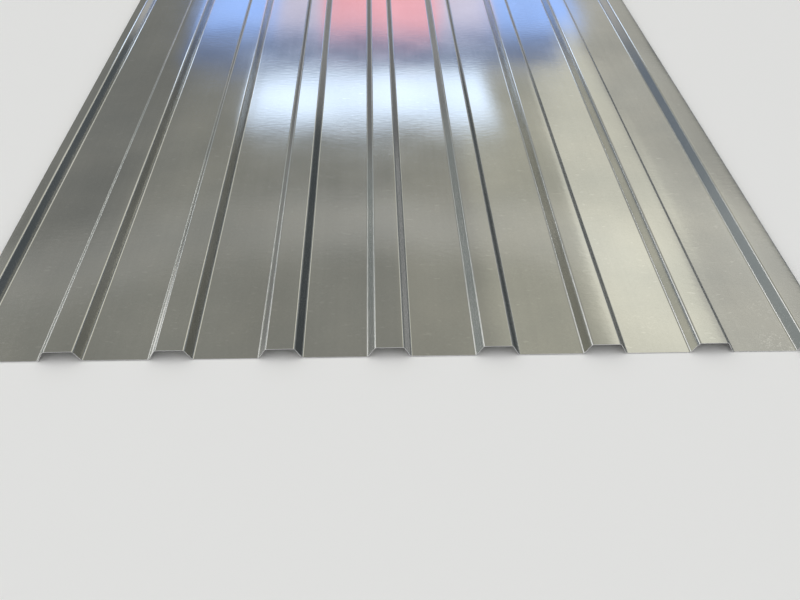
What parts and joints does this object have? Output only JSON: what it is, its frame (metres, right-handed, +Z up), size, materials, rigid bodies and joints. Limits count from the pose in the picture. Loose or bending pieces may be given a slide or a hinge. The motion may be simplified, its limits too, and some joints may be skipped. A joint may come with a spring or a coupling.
{
  "type": "corrugated metal sheet",
  "caption": "Long thin galvanised steel sheet with low trapezoidal ribs, an under-lap edge and a lipped over-lap edge, for roofing and cladding.",
  "frame": {"origin": "under the middle of the sheet, in the plane of the floor that its pans lie on", "axes": "+X across the ribs towards the lipped over-lap edge, +Y along the ribs, +Z up out of the side that faces the weather"},
  "size_m": [0.8968, 2, 0.0125],
  "materials": {
    "galvanised_steel": "bright zinc coat, faint roll streaks"
  },
  "bodies": {
    "root": {"corrugated_sheet": "galvanised_steel"}
  },
  "joints": []
}
